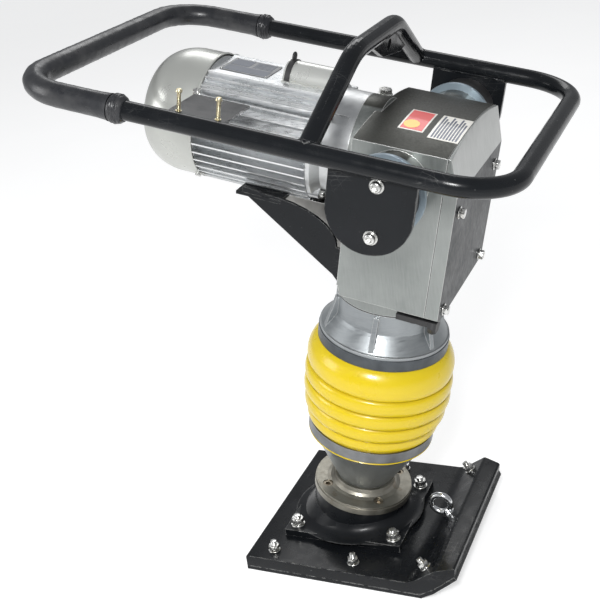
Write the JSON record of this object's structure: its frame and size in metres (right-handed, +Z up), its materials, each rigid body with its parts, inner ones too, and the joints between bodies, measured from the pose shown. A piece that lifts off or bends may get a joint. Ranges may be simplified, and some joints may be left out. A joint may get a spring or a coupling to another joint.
{
  "type": "electric tamping rammer",
  "caption": "Electric tamping rammer: motor-driven crankcase on a leaning sprung leg with bellows, flat tamping foot and a tubular handle loop on rubber mounts.",
  "frame": {"origin": "centre of the sole across, on the ground, 40 mm ahead of where the leg's axis meets the ground", "axes": "+X to the front, the way the machine walks; +Y to its left; +Z up from the ground"},
  "size_m": [0.705, 0.518, 0.8658],
  "materials": {
    "sole_steel": "hot rolled plate, worn bright underneath",
    "black_board": "black gloss, scratched by the ground",
    "black_casting": "black gloss over rough casting",
    "black_frame": "black gloss enamel on steel tube and plate",
    "zinc": "zinc plated fasteners",
    "eye_chrome": "bright plated",
    "flange_steel": "machined, yellow passivated",
    "cone_casting": "sand cast, grey",
    "knee_casting": "sand cast, grey",
    "guide_casting": "cast, turned bright",
    "case_aluminium": "cast, milled faces",
    "cover_aluminium": "cast, milled front",
    "motor_aluminium": "extruded fins, silver",
    "cowl_paint": "silver paint on pressed sheet",
    "clamp_steel": "rolled band",
    "bellows_yellow": "glossy polyurethane",
    "black_rubber": "moulded rubber",
    "grip_rubber": "ribbed grip sleeve",
    "ground_steel": "ground and honed",
    "gear_steel": "machined steel",
    "bearing_steel": "polished races",
    "spring_steel": "oil tempered wire",
    "bronze": "sintered bushing",
    "lamination": "stacked laminations",
    "copper": "varnished windings",
    "fan_plastic": "moulded fan",
    "capacitor_plastic": "moulded can",
    "disc_steel": "pale blue grey"
  },
  "bodies": {
    "foot": {"wear_plate": "sole_steel", "foot_board": "black_board", "foot_bolts": "zinc", "socket_base": "black_casting", "socket_bolts": "zinc", "eye_bolt": "eye_chrome", "base_flange": "flange_steel", "flange_screws": "flange_steel", "leg_cone": "cone_casting", "spring_cylinder": "ground_steel", "cylinder_cap": "ground_steel", "lower_springs": "spring_steel", "upper_springs": "spring_steel", "bump_stop": "black_rubber", "lower_clamp": "clamp_steel", "bellows": "bellows_yellow"},
    "plunger": {"plunger_rod": "ground_steel", "piston": "ground_steel"},
    "machine": {"guide_cylinder": "guide_casting", "guide_bush": "bronze", "upper_clamp": "clamp_steel", "hub_gasket": "black_rubber", "hub_bolts": "zinc", "crankcase": "case_aluminium", "front_gasket": "black_rubber", "front_cover": "cover_aluminium", "cover_bolts": "zinc", "ball_bearings": "bearing_steel", "shaft_seal": "black_rubber", "breather_plug": "zinc", "front_end_shield": "motor_aluminium", "tie_bolts": "zinc", "motor_frame": "motor_aluminium", "stator_core": "lamination", "stator_windings": "copper", "rear_end_shield": "motor_aluminium", "fan_cowl": "cowl_paint", "cowl_screws": "zinc", "capacitor": "capacitor_plastic", "capacitor_cover": "cowl_paint", "motor_bracket": "black_frame", "motor_knee": "knee_casting", "bracket_bolts": "zinc", "isolator_discs": "disc_steel", "rubber_mounts": "black_rubber"},
    "crank": {"drive_gear": "gear_steel", "gear_shaft": "ground_steel", "crankshaft": "gear_steel"},
    "rod": {"connecting_rod": "gear_steel", "wrist_pin": "ground_steel"},
    "rotor": {"motor_shaft": "ground_steel", "rotor_core": "lamination", "cooling_fan": "fan_plastic", "pinion": "gear_steel"},
    "handle": {"handle_loop": "black_frame", "handle_grip": "grip_rubber", "handle_arch": "black_frame", "side_plates": "black_frame", "mount_bolts": "zinc", "switch_plate": "black_frame"}
  },
  "joints": [
    {"name": "leg_slide", "type": "slide", "parent": "foot", "child": "machine", "axis": [0.2164, 0, 0.9763], "range_m": [0, 0.05], "deforming": ["bellows"]},
    {"name": "plunger_slide", "type": "slide", "parent": "foot", "child": "plunger", "axis": [0.2164, 0, 0.9763], "range_m": [-0.025, 0], "stiffness_N_per_m": 30000, "springref_m": 0.002, "deforming": ["lower_springs", "upper_springs"]},
    {"name": "crank_turn", "type": "hinge", "parent": "machine", "child": "crank", "pos_m": [0.08781, 0, 0.5765], "axis": [0.9763, 0, -0.2164], "continuous": true},
    {"name": "rod_swing", "type": "hinge", "parent": "crank", "child": "rod", "pos_m": [0.08131, 0, 0.54721], "axis": [0.9763, 0, -0.2164], "continuous": true},
    {"name": "rotor_spin", "type": "hinge", "parent": "machine", "child": "rotor", "pos_m": [0.10783, 0, 0.66681], "axis": [0.9763, 0, -0.2164], "continuous": true},
    {"name": "handle_flex", "type": "hinge", "parent": "machine", "child": "handle", "pos_m": [0.1319, 0, 0.67376], "axis": [0, 1, 0], "range_deg": [-3, 3], "stiffness_Nm_per_rad": 6000}
  ],
  "couplings": [
    {"joint": "rod_swing", "follows": "crank_turn", "ratio": -1},
    {"joint": "rotor_spin", "follows": "crank_turn", "ratio": -4.2857}
  ]
}
